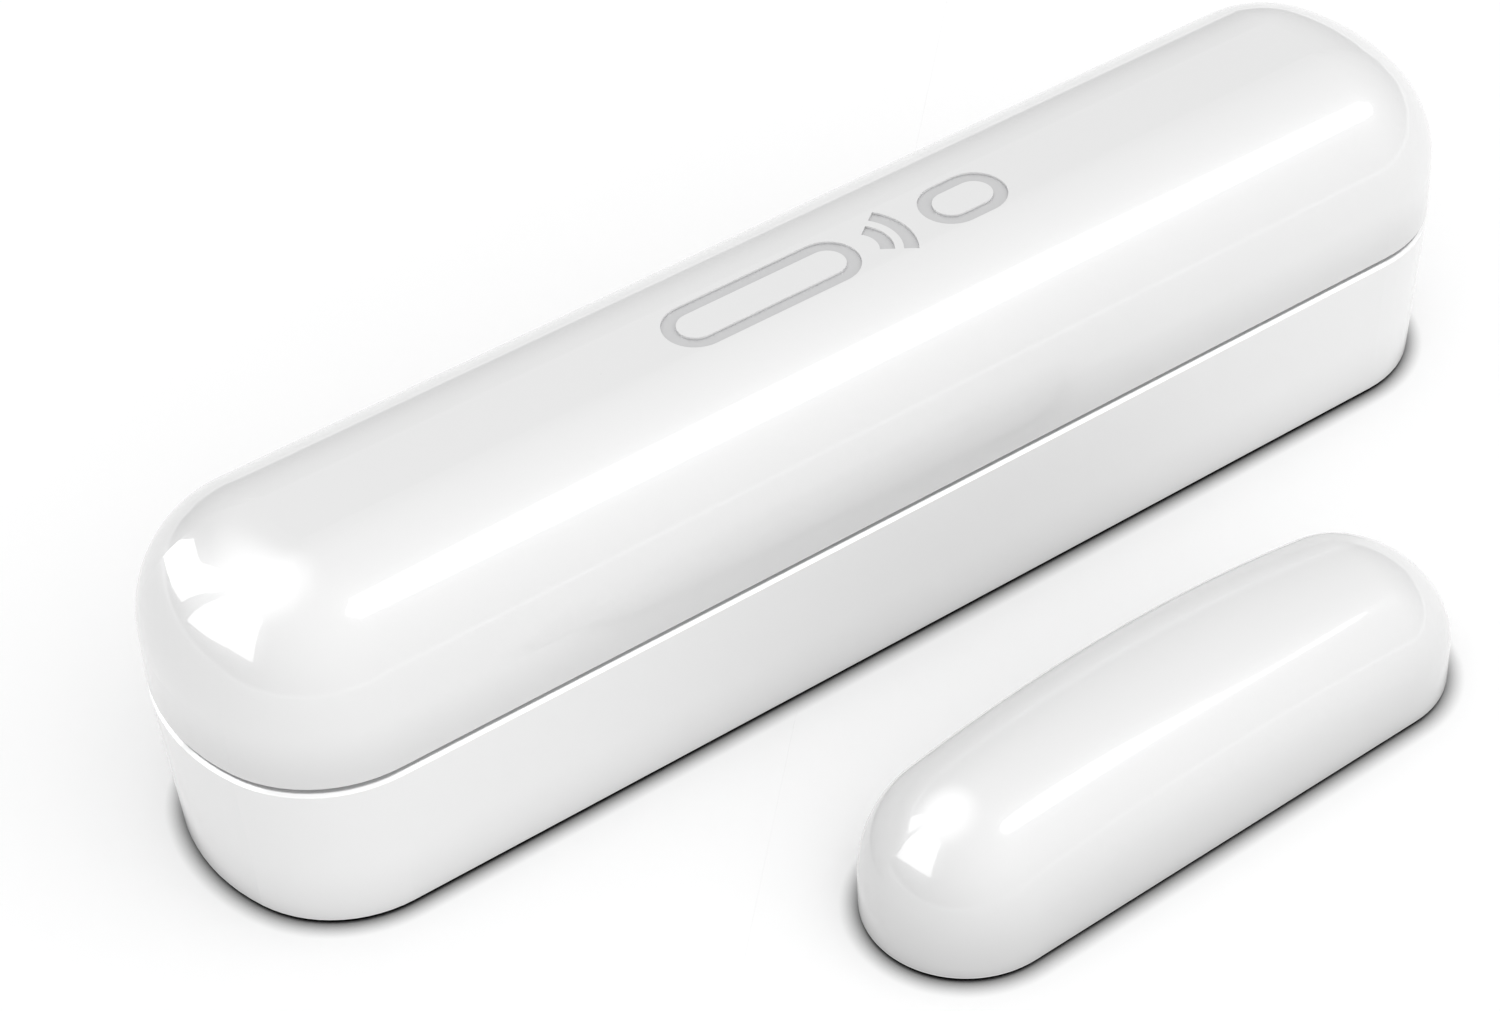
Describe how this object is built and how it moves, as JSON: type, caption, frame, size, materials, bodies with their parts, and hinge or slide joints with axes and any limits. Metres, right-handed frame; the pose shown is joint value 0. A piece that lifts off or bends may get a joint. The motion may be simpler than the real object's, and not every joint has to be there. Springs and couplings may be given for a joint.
{
  "type": "door contact sensor",
  "caption": "Wireless door contact sensor: a long rounded glossy case with a lift-off cover, and a small arched magnet unit beside it.",
  "frame": {"origin": "centre of the sensor case's mounting face, the plane of its adhesive pad", "axes": "+X along the case, +Z away from the wall towards the cover, the magnet unit stands on the -Y side"},
  "size_m": [0.076, 0.0378, 0.019],
  "materials": {
    "cover_plastic": "polished white",
    "base_plastic": "white, slightly less polished",
    "foam_tape": "double-sided foam",
    "board_laminate": "solder mask",
    "chip_plastic": "moulded",
    "tinned_sheet": "tinned",
    "capacitor_ceramic": "fired",
    "capacitor_can": "drawn can",
    "led_lens": "clear lens",
    "copper_wire": "enamelled copper",
    "reed_glass": "clear",
    "reed_metal": "plated",
    "actuator_plastic": "moulded",
    "battery_can": "plated",
    "insulator_paper": "fibre",
    "battery_film": "shrink film",
    "spring_metal": "nickel plated",
    "magnet_nickel": "nickel plated"
  },
  "bodies": {
    "base": {"base_tray": "base_plastic", "mounting_pad": "foam_tape", "circuit_board": "board_laminate", "microcontroller": "chip_plastic", "flash_memory": "chip_plastic", "radio_chip": "chip_plastic", "radio_shield": "tinned_sheet", "crystal": "tinned_sheet", "chip_capacitors": "capacitor_ceramic", "chip_resistors": "chip_plastic", "storage_capacitor": "capacitor_can", "status_led": "led_lens", "antenna_wire": "copper_wire", "reed_glass": "reed_glass", "reed_leads": "reed_metal", "tamper_switch_body": "chip_plastic", "positive_contact": "spring_metal", "negative_contact": "spring_metal", "negative_spring": "spring_metal"},
    "cover": {"cover": "cover_plastic"},
    "battery": {"battery_cell": "battery_can", "battery_positive_cap": "spring_metal", "battery_insulator_ring": "insulator_paper", "battery_sleeve": "battery_film"},
    "tamper": {"tamper_button": "base_plastic", "tamper_switch_actuator": "actuator_plastic"},
    "magnet": {"magnet_shell": "cover_plastic", "magnet_back_plate": "base_plastic", "bar_magnet": "magnet_nickel", "magnet_pad": "foam_tape"}
  },
  "joints": [
    {"name": "cover_lift", "type": "slide", "parent": "base", "child": "cover", "axis": [0, 0, 1], "range_m": [0, 0.036]},
    {"name": "battery_lift", "type": "slide", "parent": "base", "child": "battery", "axis": [0, 0, 1], "range_m": [0, 0.018]},
    {"name": "tamper_press", "type": "slide", "parent": "base", "child": "tamper", "axis": [0, 0, 1], "range_m": [-0.0008, 0], "stiffness_N_per_m": 60, "springref_m": -0.0012},
    {"name": "door_slide", "type": "slide", "parent": "base", "child": "magnet", "axis": [0, -1, 0], "range_m": [-0.0076, 0.06]}
  ],
  "couplings": [
    {"joint": "battery_lift", "follows": "cover_lift", "ratio": 0.5}
  ]
}
